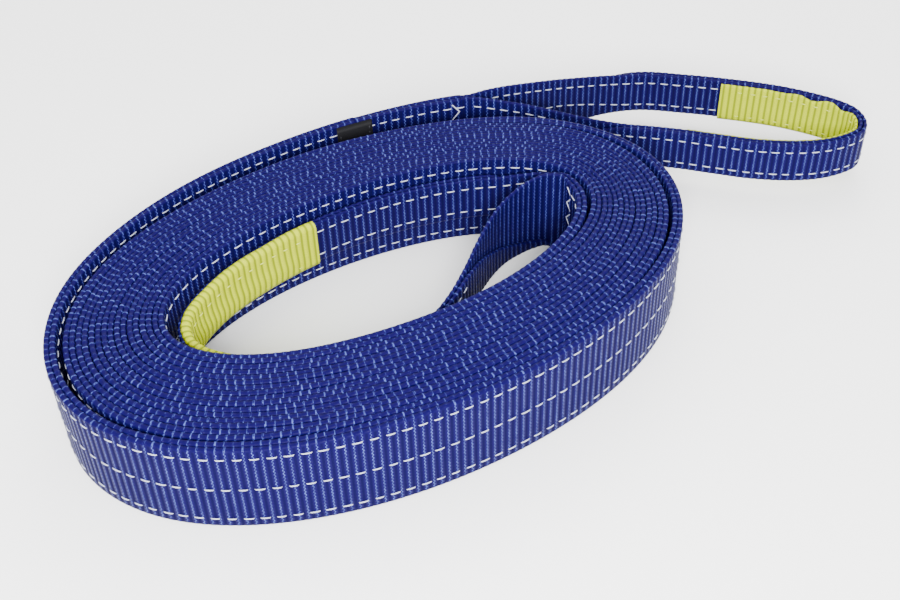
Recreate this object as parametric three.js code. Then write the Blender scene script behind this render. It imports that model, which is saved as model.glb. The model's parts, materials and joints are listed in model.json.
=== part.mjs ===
// A flat web sling with two eyes, rolled up and lying on its edge.
//
// One length of blue webbing makes the whole sling. Its two plies lie together along the body,
// part at each throat, and are folded in half lengthwise to go round as an eye. A wear pad lines
// each eye. The body is wound into a flat oval coil from the inner eye outwards, and the outer
// end leaves the coil, where it can be peeled away, with the outer eye swinging at its throat.
//
// Millimetres, +Z up, the coil's edge on the ground, its long axis along X.
import * as THREE from 'three';

// Webbing
const WEB_WIDTH = 50;
const WEB_THICK = 2.0;
const PLY_GAP = 0.3;

// Coil: the inside of its first turn is an ellipse, and each turn lies outside the last
const HOLE_HALF_LENGTH = 104.5;
const HOLE_HALF_WIDTH = 47;
const START_ANGLE = THREE.MathUtils.degToRad(5);
const TURNS = 8.81;
const TURN_SPARE = 0.8;
const TIGHTER_AT_BACK = 0.65;
const TIGHTER_AT_RIGHT = 0.45;
const END_SLACK = 2.4;
const STEPS_PER_TURN = 48;

// The outer end, in turns before the throat of the outer eye: where it begins to stand off the
// coil, and where it can be peeled from it
const TAIL_TURNS = 0.31;
const TAIL_LIFT = 17.5;
const TAIL_LIFT_SPAN = 0.32;
const PEEL_TURNS = 0.28;
const PEEL_GAP = 3.0;
const THREAD_SETBACK = 1.5;

// Eyes
const OUTER_EYE_LENGTH = 215;
const OUTER_EYE_LIFT = 6;
const INNER_EYE_LIFT = 17;
const FOLD_ROUND = 0.5;
const THROAT_GAP = 1.6;
const OUTER_FOLD_RUN = 55;
const INNER_FOLD_RUN = 40;
const EYE_LEAD = 4;
const EYE_STEPS = 84;

// Wear pads
const PAD_LENGTH = 190;
// how far past the middle of each eye's length its pad sits
const OUTER_PAD_SHIFT = 18;
const INNER_PAD_SHIFT = -7;
const PAD_THICK = 1.8;
const PAD_INSET = 0.5;
const TOUCH = 0.3;

// Thread and label
const THREAD_WIDTH = 0.9;
const THREAD_THICK = 0.4;
const ROW_INSET = 5.5;
const ROWS_SHOW_TURNS = 0.97;
const PAD_ROW_INSET = 4;
const TACK_TEETH = 9;
const TACK_WIDTH = 4;
const TACK_INSET = 3;
const TACK_SETBACK = 3;
const LABEL_WIDTH = 20;
const LABEL_MARGIN = 4;
const LABEL_STAND_OFF = 0.5;
const LABEL_THICK = 0.6;
const LABEL_TURNS = 0.033;
const LABEL_HEM = 1.6;

// Worked out from the sizes above
const TAIL_START = TURNS - TAIL_TURNS;
const PEEL_TURN = TURNS - PEEL_TURNS;
const DUPLEX = 2 * WEB_THICK + PLY_GAP;
const PITCH = 2 * (WEB_THICK + PLY_GAP) + TURN_SPARE;
const FOLD_HEIGHT = WEB_WIDTH / 2 + FOLD_ROUND;
const FOLD_THICK = DUPLEX;
const BACK_OF_COIL = Math.PI / 2;
const BODY_ROWS = { lower: ROW_INSET, middle: WEB_WIDTH / 2, upper: WEB_WIDTH - ROW_INSET };
const LABEL_HEIGHT = WEB_WIDTH - 2 * LABEL_MARGIN;

const ROUGH = 0.72;
const COLORS = { web: 0x21247a, pad: 0xd7eb10, thread: 0xe8e8f0, label: 0x2a2b2d };

// ---------------------------------------------------------------- the coil's line

/** How far the tangent at this turn stands from the coil's middle. */
function reach(turn) {
  const angle = START_ANGLE - 2 * Math.PI * turn;
  const [c, s] = [Math.cos(angle), Math.sin(angle)];
  const oval = Math.hypot(HOLE_HALF_LENGTH * c, HOLE_HALF_WIDTH * s);
  const growth = turn * (PITCH - TIGHTER_AT_BACK * s - TIGHTER_AT_RIGHT * c);
  const firstTurnAtFront = (START_ANGLE + BACK_OF_COIL) / (2 * Math.PI);
  const lastTurnAtBack = Math.floor(TURNS) - 1 + firstTurnAtFront + 0.5;
  let slack = 0;
  if (turn < firstTurnAtFront) slack = -END_SLACK * c * c;
  if (turn > lastTurnAtBack) slack = END_SLACK * c * c;
  const peeled = Math.max(0, turn - TAIL_START) / TAIL_LIFT_SPAN;
  return oval + growth + slack + TAIL_LIFT * peeled * peeled;
}

/** The inner face of the body at this turn: its place, its outward normal and its heading. */
function wound(turn) {
  const angle = START_ANGLE - 2 * Math.PI * turn;
  const n = new THREE.Vector2(Math.cos(angle), Math.sin(angle));
  const t = new THREE.Vector2(-n.y, n.x);
  const e = 1e-4;
  const slope = (reach(turn - e) - reach(turn + e)) / (4 * Math.PI * e);
  const p = n.clone().multiplyScalar(reach(turn)).addScaledVector(t, slope);
  return { p, n, along: t.clone().negate() };
}

/** The same, on the straight facets between whole steps, which every layer of the coil shares. */
function facet(turn) {
  const k = turn * STEPS_PER_TURN;
  const a = wound(Math.floor(k) / STEPS_PER_TURN);
  const b = wound(Math.floor(k + 1) / STEPS_PER_TURN);
  const f = k - Math.floor(k);
  const along = b.p.clone().sub(a.p).normalize();
  return { p: a.p.clone().lerp(b.p, f), n: a.n.clone().lerp(b.n, f), along };
}

/** Every whole step between two turns, with the two turns themselves. */
function steps(from, to) {
  const turns = [from];
  for (let k = Math.ceil(from * STEPS_PER_TURN + 0.05); k < to * STEPS_PER_TURN - 0.05; k++) {
    turns.push(k / STEPS_PER_TURN);
  }
  turns.push(to);
  return turns;
}

/** The turn that lies this many millimetres further along the body. */
function further(turn, distance) {
  const e = 1e-3;
  const rate = wound(turn + e).p.distanceTo(wound(turn - e).p) / (2 * e);
  return turn + distance / rate;
}

// ---------------------------------------------------------------- solids

/** A closed solid through four-cornered sections, each {p, n, inner, outer, low, high}. */
function strap(sections, closed = false) {
  const corners = [];
  for (const { p, n, inner, outer, low, high } of sections) {
    for (const [d, z] of [[inner, low], [outer, low], [outer, high], [inner, high]]) {
      corners.push(p.x + n.x * d, p.y + n.y * d, z);
    }
  }
  const faces = [];
  const count = sections.length;
  for (let i = 0; i < (closed ? count : count - 1); i++) {
    const j = (i + 1) % count;
    for (let k = 0; k < 4; k++) {
      const m = (k + 1) % 4;
      const [a, b, c, d] = [4 * i + k, 4 * i + m, 4 * j + m, 4 * j + k];
      faces.push(a, b, c, a, c, d);
    }
  }
  if (!closed) {
    const e = 4 * (count - 1);
    faces.push(0, 2, 1, 0, 3, 2, e, e + 1, e + 2, e, e + 2, e + 3);
  }
  const geometry = new THREE.BufferGeometry();
  geometry.setAttribute('position', new THREE.Float32BufferAttribute(corners, 3));
  geometry.setIndex(outward(corners, faces));
  return geometry;
}

/** The same triangles, turned round if they face into the solid. */
function outward(corners, faces) {
  const v = (i) => new THREE.Vector3().fromArray(corners, 3 * i);
  let volume = 0;
  for (let i = 0; i < faces.length; i += 3) {
    volume += v(faces[i]).dot(v(faces[i + 1]).cross(v(faces[i + 2])));
  }
  if (volume > 0) return faces;
  const turned = [];
  for (let i = 0; i < faces.length; i += 3) turned.push(faces[i], faces[i + 2], faces[i + 1]);
  return turned;
}

/** A node: one solid with its own material. */
function node(parent, name, geometry, color) {
  const material = new THREE.MeshStandardMaterial({ name: `${name}_finish`, color, roughness: ROUGH });
  const mesh = new THREE.Mesh(geometry, material);
  mesh.name = name;
  parent.add(mesh);
}

// ---------------------------------------------------------------- body of the sling

/** One ply, or a row of thread on it, along the wound body. */
function alongBody(from, to, inner, outer, low, high) {
  return strap(steps(from, to).map((turn) => ({ ...facet(turn), inner, outer, low, high })));
}

const INNER_PLY = [0, WEB_THICK];
const OUTER_PLY = [WEB_THICK + PLY_GAP, DUPLEX];
const ON_OUTSIDE = [DUPLEX + TOUCH, DUPLEX + TOUCH + THREAD_THICK];

function body(parent, prefix, from, to, threadFrom, threadTo) {
  node(parent, `${prefix}_inner_ply`, alongBody(from, to, ...INNER_PLY, 0, WEB_WIDTH), COLORS.web);
  node(parent, `${prefix}_outer_ply`, alongBody(from, to, ...OUTER_PLY, 0, WEB_WIDTH), COLORS.web);
  for (const [row, height] of Object.entries(BODY_ROWS)) {
    const z = [height - THREAD_WIDTH / 2, height + THREAD_WIDTH / 2];
    const sewn = alongBody(threadFrom, threadTo, ...ON_OUTSIDE, ...z);
    node(parent, `${prefix}_stitch_${row}`, sewn, COLORS.thread);
  }
}

// ---------------------------------------------------------------- eyes

/** The middle of an eye's leg, all the way round from one ply's end to the other's. */
function eyeLine(points, startHeading, endHeading) {
  const route = points.map(([x, y]) => new THREE.Vector3(x, y, 0));
  route.splice(1, 0, route[0].clone().addScaledVector(startHeading, EYE_LEAD));
  route.splice(-1, 0, route.at(-1).clone().addScaledVector(endHeading, EYE_LEAD));
  return new THREE.CatmullRomCurve3(route, false, 'centripetal');
}

/** Even places along an eye's line, with the distance from the first and to the last. */
function eyePlaces(curve) {
  const length = curve.getLength();
  const places = [];
  for (let i = 0; i <= EYE_STEPS; i++) {
    const at = i / EYE_STEPS;
    const p = curve.getPointAt(at);
    const t = curve.getTangentAt(at);
    places.push({ p: new THREE.Vector2(p.x, p.y), n: new THREE.Vector2(t.y, -t.x), s: at * length });
  }
  return { places, length };
}

const smooth = THREE.MathUtils.smoothstep;

/** The nodes of one eye: folded webbing, its two rows of thread, the pad and the pad's rows. */
function eye(parent, name, curve, side, lift, foldRun, padShift) {
  const { places, length } = eyePlaces(curve);
  const section = (s) => {
    const folded = smooth(Math.min(s, length - s), 0, foldRun);
    const low = lift * folded;
    const high = THREE.MathUtils.lerp(WEB_WIDTH, lift + FOLD_HEIGHT, folded);
    const thick = THREE.MathUtils.lerp(WEB_THICK, FOLD_THICK, folded);
    return { low, high, outer: side * (thick - WEB_THICK / 2), inner: -side * WEB_THICK / 2 };
  };
  const web = places.map(({ p, n, s }) => ({ p, n, ...section(s) }));
  node(parent, `${name}_web`, strap(web), COLORS.web);

  const outside = side * (FOLD_THICK - WEB_THICK / 2);
  const sewn = places.filter(({ s }) => s > foldRun && s < length - foldRun);
  const rows = { lower: lift + ROW_INSET, upper: lift + FOLD_HEIGHT - ROW_INSET };
  for (const [row, height] of Object.entries(rows)) {
    node(parent, `${name}_stitch_${row}`, thread(sewn, outside, side, height), COLORS.thread);
  }

  const padded = places.filter(({ s }) => Math.abs(s - length / 2 - padShift) <= PAD_LENGTH / 2);
  const back = -side * (WEB_THICK / 2 + TOUCH);
  const face = back - side * PAD_THICK;
  const [low, high] = [lift + PAD_INSET, lift + FOLD_HEIGHT - PAD_INSET];
  const lining = padded.map(({ p, n }) => ({ p, n, inner: face, outer: back, low, high }));
  node(parent, `${name}_pad`, strap(lining), COLORS.pad);
  const inside = padded.slice(1, -1);
  const padRows = { lower: low + PAD_ROW_INSET, upper: high - PAD_ROW_INSET };
  for (const [row, height] of Object.entries(padRows)) {
    node(parent, `${name}_pad_stitch_${row}`, thread(inside, face, -side, height), COLORS.thread);
  }
}

/** A row of thread that stands off a face by the touching gap. */
function thread(places, face, side, height) {
  const inner = face + side * TOUCH;
  const outer = inner + side * THREAD_THICK;
  const z = { low: height - THREAD_WIDTH / 2, high: height + THREAD_WIDTH / 2 };
  return strap(places.map(({ p, n }) => ({ p, n, inner, outer, ...z })));
}

// The outer eye's plan from its throat: along the body's heading, and across it (away from the
// coil), drawn for an eye this long
const PLAN_LENGTH = 215;
const OUTER_EYE_PLAN = [
  [15, 5], [39, 12.5], [64, 20.5], [88, 24.8], [110, 23.3], [131, 15.5], [154, 5.5], [182, -9.5],
  [205, -28], [210.8, -37], [211, -46.5], [207, -53], [199, -56.5], [185.5, -58.3], [169.7, -56.3],
  [150, -50], [132.5, -41.5], [113.4, -31.8], [94.3, -23.7], [76, -17.3], [57, -12.2],
  [36, -7.6], [17, -4.4],
];

// The inner eye's plan. Where it follows the hole's wall: [turn of that wall, gap to it], from the
// back leg round the crown to the near leg. Where the near leg crosses the hole to its throat:
// shares of the hole's half length and half width
const INNER_EYE_ALONG_WALL = [
  [0.91, 1.2], [0.88, 1.2], [0.85, 1.3], [0.82, 1.5], [0.79, 1.9], [0.765, 2.6], [0.74, 3.6], [0.715, 4.4],
  [0.69, 4.8], [0.66, 5], [0.62, 4.6], [0.57, 4.2], [0.52, 3.8], [0.46, 2.6], [0.41, 1.7], [0.37, 1.3],
  [0.335, 1.2], [0.305, 1.2], [0.28, 1.2],
];
const INNER_EYE_CROSSING = [
  [-0.1, -0.93], [0.04, -0.87], [0.17, -0.72], [0.29, -0.51], [0.41, -0.27], [0.53, -0.05], [0.64, 0.11],
  [0.75, 0.21], [0.85, 0.26], [0.93, 0.25],
];

const flat = (v) => new THREE.Vector3(v.x, v.y, 0);

function outerEye(parent) {
  const { p, n, along } = facet(TURNS);
  const free = wound(TURNS);
  const scale = OUTER_EYE_LENGTH / PLAN_LENGTH;
  const throat = (b) => p.clone().addScaledVector(along, THROAT_GAP).addScaledVector(n, b);
  const farEnd = throat(OUTER_PLY[0] + WEB_THICK / 2);
  const nearEnd = throat(WEB_THICK / 2);
  const middle = throat(DUPLEX / 2);
  const legs = OUTER_EYE_PLAN.map(([a, b]) =>
    middle.clone().addScaledVector(free.along, a * scale).addScaledVector(free.n, b * scale));
  const points = [farEnd, ...legs, nearEnd].map(({ x, y }) => [x, y]);
  const curve = eyeLine(points, flat(along), flat(along));
  eye(parent, 'outer_eye', curve, -1, OUTER_EYE_LIFT, OUTER_FOLD_RUN, OUTER_PAD_SHIFT);
}

function innerEye(parent) {
  const { p, n, along } = facet(0);
  const back = along.clone().negate();
  const throat = (b) => p.clone().addScaledVector(back, THROAT_GAP).addScaledVector(n, b);
  const backEnd = throat(OUTER_PLY[0] + WEB_THICK / 2);
  const nearEnd = throat(WEB_THICK / 2);
  const wallSide = FOLD_THICK - WEB_THICK / 2 + TOUCH + THREAD_THICK;
  const hugging = INNER_EYE_ALONG_WALL.map(([turn, gap]) => {
    const wall = wound(turn);
    return wall.p.addScaledVector(wall.n, -wallSide - gap);
  });
  const hole = new THREE.Vector2(HOLE_HALF_LENGTH, HOLE_HALF_WIDTH);
  const crossing = INNER_EYE_CROSSING.map(([a, b]) => new THREE.Vector2(a, b).multiply(hole));
  const legs = [...hugging, ...crossing];
  const points = [backEnd, ...legs, nearEnd].map(({ x, y }) => [x, y]);
  const curve = eyeLine(points, flat(back), flat(back));
  eye(parent, 'inner_eye', curve, 1, INNER_EYE_LIFT, INNER_FOLD_RUN, INNER_PAD_SHIFT);
}

// ---------------------------------------------------------------- throat tacks and label

/** A zigzag of thread up the width of the body, on the face at this distance from its inner face. */
function throatTack(parent, name, turn, face, side) {
  const { p, n } = facet(turn);
  const bottom = TACK_INSET;
  const rise = (WEB_WIDTH - 2 * TACK_INSET) / TACK_TEETH;
  const line = [];
  for (let i = 0; i <= TACK_TEETH; i++) {
    line.push(new THREE.Vector2((i % 2 ? 0.5 : -0.5) * TACK_WIDTH, bottom + i * rise));
  }
  const shape = new THREE.Shape(mitred(line, THREAD_WIDTH));
  const geometry = new THREE.ExtrudeGeometry(shape, { depth: THREAD_THICK, bevelEnabled: false });
  const up = new THREE.Vector3(0, 0, 1);
  const out = flat(n).multiplyScalar(side);
  const across = up.clone().cross(out);
  const start = flat(p).addScaledVector(flat(n), face).addScaledVector(out, TOUCH);
  geometry.applyMatrix4(new THREE.Matrix4().makeBasis(across, up, out).setPosition(start));
  node(parent, name, geometry, COLORS.thread);
}

/** The outline of a line of this width, with mitred corners. */
function mitred(line, width) {
  const side = (sign) => line.map((q, i) => {
    const before = q.clone().sub(line[Math.max(i - 1, 0)]).normalize();
    const after = line[Math.min(i + 1, line.length - 1)].clone().sub(q).normalize();
    const mean = before.clone().add(after).normalize();
    const normal = new THREE.Vector2(-mean.y, mean.x);
    const edge = after.lengthSq() > 0 ? after : before;
    const stretch = 1 / Math.abs(normal.dot(new THREE.Vector2(-edge.y, edge.x)));
    return q.clone().addScaledVector(normal, (sign * width * stretch) / 2);
  });
  return [...side(1), ...side(-1).reverse()];
}

/** The label on the inside of the outer end, and the thread sewn round it. */
function label(parent) {
  const mid = facet(TURNS - LABEL_TURNS);
  const at = (d, inner, outer, low, high) => {
    const p = mid.p.clone().addScaledVector(mid.along, d);
    return { p, n: mid.n, inner, outer, low, high };
  };
  const back = -LABEL_STAND_OFF;
  const face = back - LABEL_THICK;
  const low = (WEB_WIDTH - LABEL_HEIGHT) / 2;
  const high = low + LABEL_HEIGHT;
  const halfWidth = LABEL_WIDTH / 2;
  node(parent, 'identity_label',
    strap([at(-halfWidth, face, back, low, high), at(halfWidth, face, back, low, high)]), COLORS.label);

  const [w, h] = [halfWidth - LABEL_HEM, LABEL_HEIGHT / 2 - LABEL_HEM];
  const ring = rectangle(w, h);
  ring.holes.push(rectangle(w - THREAD_WIDTH, h - THREAD_WIDTH));
  const geometry = new THREE.ExtrudeGeometry(ring, { depth: THREAD_THICK, bevelEnabled: false });
  const up = new THREE.Vector3(0, 0, 1);
  const out = flat(mid.n).negate();
  const centre = flat(mid.p).addScaledVector(out, -face + TOUCH).addScaledVector(up, (low + high) / 2);
  geometry.applyMatrix4(new THREE.Matrix4().makeBasis(up.clone().cross(out), up, out).setPosition(centre));
  node(parent, 'label_stitch', geometry, COLORS.thread);
}

function rectangle(w, h) {
  return new THREE.Shape([[-w, -h], [w, -h], [w, h], [-w, h]].map(([x, y]) => new THREE.Vector2(x, y)));
}

// ---------------------------------------------------------------- assembly

const sling = new THREE.Group();
const coil = new THREE.Group();
const tail = new THREE.Group();
const swingingEye = new THREE.Group();
sling.add(coil, tail, swingingEye);

const tailFrom = further(PEEL_TURN, PEEL_GAP);
body(coil, 'body', 0, PEEL_TURN, TURNS - ROWS_SHOW_TURNS, further(PEEL_TURN, -THREAD_SETBACK));
body(tail, 'outer_end', tailFrom, TURNS, further(tailFrom, THREAD_SETBACK), TURNS);
innerEye(coil);
outerEye(swingingEye);
throatTack(coil, 'inner_throat_tack', further(0, TACK_SETBACK), 0, -1);
throatTack(tail, 'outer_throat_tack', further(TURNS, -TACK_SETBACK), 0, -1);
label(tail);

// The origin is on the ground, under the middle of the whole sling as it lies
const size = new THREE.Box3().setFromObject(sling);
const middle = size.getCenter(new THREE.Vector3());
sling.position.set(-middle.x, -middle.y, -size.min.z);

export default sling;
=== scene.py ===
import json
import math

import bpy
import numpy as np
from mathutils import Matrix, Vector


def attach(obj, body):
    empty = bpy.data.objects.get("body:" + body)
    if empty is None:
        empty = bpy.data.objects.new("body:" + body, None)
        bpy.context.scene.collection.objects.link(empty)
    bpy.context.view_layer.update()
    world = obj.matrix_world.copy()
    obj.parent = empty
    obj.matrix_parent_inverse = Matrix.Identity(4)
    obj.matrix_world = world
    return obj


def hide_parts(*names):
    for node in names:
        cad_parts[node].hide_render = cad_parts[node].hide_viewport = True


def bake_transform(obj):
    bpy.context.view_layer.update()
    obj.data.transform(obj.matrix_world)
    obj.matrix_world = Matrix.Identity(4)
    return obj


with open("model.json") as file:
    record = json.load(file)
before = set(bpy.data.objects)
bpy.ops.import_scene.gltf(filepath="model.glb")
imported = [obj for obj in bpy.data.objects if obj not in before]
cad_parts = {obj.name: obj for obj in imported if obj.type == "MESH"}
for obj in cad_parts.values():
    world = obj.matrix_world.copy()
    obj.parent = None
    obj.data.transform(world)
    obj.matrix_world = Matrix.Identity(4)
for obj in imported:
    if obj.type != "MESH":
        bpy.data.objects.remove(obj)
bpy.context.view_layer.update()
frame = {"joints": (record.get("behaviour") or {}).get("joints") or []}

# ---------------------------------------------------------------------------------------------
# The webbing. One length of ribbed polyester, 50 mm wide and 2 mm thick, makes the whole sling:
# its two plies lie face to face along the body and turn round at each end as an eye. The body is
# rolled up from the inner eye outwards, 8.8 turns, and stands on its lower selvedges.
MM = 0.001
WEB_WIDTH = 50 * MM
WEB_THICK = 2.0 * MM
PLY_GAP = 0.3 * MM
DUPLEX = 2 * WEB_THICK + PLY_GAP
RIB_PITCH = 3.75 * MM
RIB_RISE = 0.2 * MM
STEPS_PER_RIB = 6

HOLE_HALF_LENGTH = 104.5 * MM
HOLE_HALF_WIDTH = 47 * MM
START_ANGLE = math.radians(5)
TURNS = 8.81
TURN_PITCH = 5.4 * MM
TIGHTER_AT_BACK = 0.65 * MM
TIGHTER_AT_RIGHT = 0.45 * MM
END_SLACK = 2.4 * MM
TAIL_START = 8.5
TAIL_LIFT = 17.5 * MM
TAIL_LIFT_SPAN = 0.32
PRESSED_ROOM = 0.25 * MM

random = np.random.default_rng(7)


def reach(turn):
    """How far the tangent at a turn stands from the coil's middle: an ellipse's support, plus an
    even growth with each turn that is less at the back and right, plus slack at the two ends of
    the first and last turn, plus the square of the distance past where the outer end lifts off."""
    angle = START_ANGLE - 2 * np.pi * turn
    c, s = np.cos(angle), np.sin(angle)
    oval = np.hypot(HOLE_HALF_LENGTH * c, HOLE_HALF_WIDTH * s)
    growth = turn * (TURN_PITCH - TIGHTER_AT_BACK * s - TIGHTER_AT_RIGHT * c)
    front = (START_ANGLE + np.pi / 2) / (2 * np.pi)
    at_last_turn, at_first_turn = np.where(turn > 7.5 + front, 1.0, 0.0), np.where(turn < front, 1.0, 0.0)
    slack = END_SLACK * c * c * (at_last_turn - at_first_turn)
    peeled = np.maximum(0, turn - TAIL_START) / TAIL_LIFT_SPAN
    return oval + growth + slack + TAIL_LIFT * peeled**2


def wound(turn):
    """The inner face of the body at each turn: place, outward normal and heading, from the
    support function: place = normal x reach + tangent x slope of reach."""
    turn = np.asarray(turn, float)
    angle = START_ANGLE - 2 * np.pi * turn
    n = np.stack([np.cos(angle), np.sin(angle)], -1)
    t = np.stack([-n[..., 1], n[..., 0]], -1)
    e = 1e-4
    slope = (reach(turn - e) - reach(turn + e)) / (4 * np.pi * e)
    return n * reach(turn)[..., None] + t * slope[..., None] + COIL_MIDDLE, n, -t


# the coil's middle in this frame is the peeling hinge's place less its place from that middle
hinges = {joint["name"]: np.array(joint["pos_m"]) for joint in frame["joints"]}
COIL_MIDDLE = hinges["outer_end_peel"][:2] - np.array([-158.172, 5.326]) * MM


def ply_half(turn):
    """Half a ply's thickness: the plies of neighbouring turns press together, so each takes a
    quarter of the room a turn has in that direction, less a little."""
    angle = START_ANGLE - 2 * np.pi * np.asarray(turn, float)
    room = TURN_PITCH - TIGHTER_AT_BACK * np.sin(angle) - TIGHTER_AT_RIGHT * np.cos(angle)
    return (room - PRESSED_ROOM) / 4


def depth_of(turn, quarters):
    """A depth from the body's inner face, in half-plies: 1 is the middle of the inner ply, 3 the
    middle of the outer one, 4 the outer face."""
    return ply_half(turn) * quarters


def web_rows(start, end, quarters):
    """Turns at an even spacing, a sixth of a rib, between two turns, measured along the web at
    this depth from the body's inner face, with the distance along it from the inner eye."""
    fine = np.linspace(0, TURNS, 40000)
    p, n, _ = wound(fine)
    line = p + n * depth_of(fine, quarters)[:, None]
    length = np.concatenate([[0], np.cumsum(np.linalg.norm(np.diff(line, axis=0), axis=1))])
    a, b = np.interp([start, end], fine, length)
    count = max(2, round((b - a) / (RIB_PITCH / STEPS_PER_RIB)) + 1)
    s = np.linspace(a, b, count)
    return np.interp(s, length, fine), s


def ease(x):
    """A smooth step from 0 to 1."""
    x = np.clip(x, 0, 1)
    return x * x * (3 - 2 * x)


def ridge(s, pitch):
    """The rib's height from 0 to 1 along the web: a raised cosine with a broad crest."""
    return (0.5 + 0.5 * np.cos(2 * np.pi * s / pitch)) ** 0.75


def section_widths(inside):
    """Widths across a web from selvedge to selvedge, closer together round the two edges, with
    the share of the full thickness at each: a half circle at each selvedge."""
    turn = np.radians([0, 35, 65, 90])
    round_edge = WEB_THICK / 2 * (1 - np.cos(turn))
    width = np.concatenate([round_edge, inside, WEB_WIDTH - round_edge[::-1]])
    share = np.concatenate([np.sin(turn), np.ones(len(inside)), np.sin(turn)[::-1]])
    return width, share


def mesh_object(name, points, groups, uv, material):
    """An object of these corners and groups of faces, a group for each number of corners. All are
    turned over if the volume in them, the sum over their triangles of a . (b x c), is negative.
    The UV map holds millimetres along and across the cloth."""
    volume = 0.0
    for group in groups:
        for k in range(1, group.shape[1] - 1):
            a, b, c = points[group[:, 0]], points[group[:, k]], points[group[:, k + 1]]
            volume += np.einsum("ij,ij->", a, np.cross(b, c))
    if volume < 0:
        groups = [group[:, ::-1] for group in groups]
    corners = np.concatenate([group.ravel() for group in groups])
    sizes = np.concatenate([np.full(len(group), group.shape[1]) for group in groups])
    starts = np.concatenate([[0], np.cumsum(sizes)[:-1]])
    mesh = bpy.data.meshes.new(name)
    mesh.vertices.add(len(points))
    mesh.vertices.foreach_set("co", points.astype(np.float32).ravel())
    mesh.loops.add(len(corners))
    mesh.loops.foreach_set("vertex_index", corners.astype(np.int32))
    mesh.polygons.add(len(sizes))
    mesh.polygons.foreach_set("loop_start", starts.astype(np.int32))
    mesh.polygons.foreach_set("use_smooth", np.full(len(sizes), True))
    mesh.update(calc_edges=True)
    layer = mesh.uv_layers.new(name="cloth")
    layer.data.foreach_set("uv", (uv[corners] / MM).astype(np.float32).ravel())
    mesh.validate()
    mesh.materials.append(material)
    piece = bpy.data.objects.new(name, mesh)
    bpy.context.scene.collection.objects.link(piece)
    return piece


def tube_faces(rows, columns, copies=1):
    """The faces of one or more grids, numbered one after another, whose columns close on
    themselves: the quads round each, and its two end caps."""
    index = np.arange(copies * rows * columns).reshape(copies, rows, columns)
    a, b = index[:, :-1], index[:, 1:]
    quads = np.stack([a, np.roll(a, -1, 2), np.roll(b, -1, 2), b], -1).reshape(-1, 4)
    caps = np.stack([index[:, 0, ::-1], index[:, -1]], 1).reshape(-1, columns)
    return [quads, caps]


def strap(name, middle, normal, half, s, width, material):
    """A closed strap about a middle surface: that surface plus and minus its normal times half
    the thickness, the two sides joined at the selvedges. Arrays run along, then across."""
    over = middle + normal * half[..., None]
    under = middle - normal * half[..., None]
    grid = np.concatenate([over, under[:, -2:0:-1]], 1)
    across = np.broadcast_to(width, middle.shape[:2])
    v = np.concatenate([across, across[:, -2:0:-1]], 1)
    uv = np.stack([np.broadcast_to(s[:, None], v.shape), v], -1)
    rows, columns = grid.shape[:2]
    return mesh_object(name, grid.reshape(-1, 3), tube_faces(rows, columns), uv.reshape(-1, 2), material)


def body_ply(name, start, end, quarters, material):
    """One ply of the body between two turns: upright on the coil's line at this depth, its ribs
    swelling both faces and both selvedges, its upper selvedge wandering by a few tenths."""
    turn, s = web_rows(start, end, quarters)
    p, n, _ = wound(turn)
    thick = ply_half(turn)
    width, share = section_widths(np.array([0.25, 0.75]) * WEB_WIDTH)
    rib = ridge(s, RIB_PITCH)
    phase = random.uniform(0, 6.28, 3)
    wander = 0.35 * MM * (np.sin(s / 0.043 + phase[0]) + np.sin(s / 0.017 + phase[1])) / 2
    sway = 0.05 * MM * np.sin(s / 0.021 + phase[2])
    height = width[None] + (rib[:, None] - 0.4) * RIB_RISE * 0.6 * np.sign(width - WEB_WIDTH / 2)[None]
    height = height + wander[:, None] * (width / WEB_WIDTH)[None] ** 4
    base = p + n * (depth_of(turn, quarters) + sway)[:, None]
    middle = np.concatenate([np.repeat(base[:, None], len(width), 1), height[..., None]], -1)
    normal = np.concatenate([n, np.zeros((len(n), 1))], -1)[:, None]
    rise = RIB_RISE * (0.25 + 0.75 * ease((np.minimum(width, WEB_WIDTH - width) - 1 * MM) / (3 * MM)))
    half = (thick[:, None] - rise + rise * rib[:, None]) * share[None]
    piece = strap(name, middle, normal, half, s, width[None], material)
    return piece, s[-1] - s[0]


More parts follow.
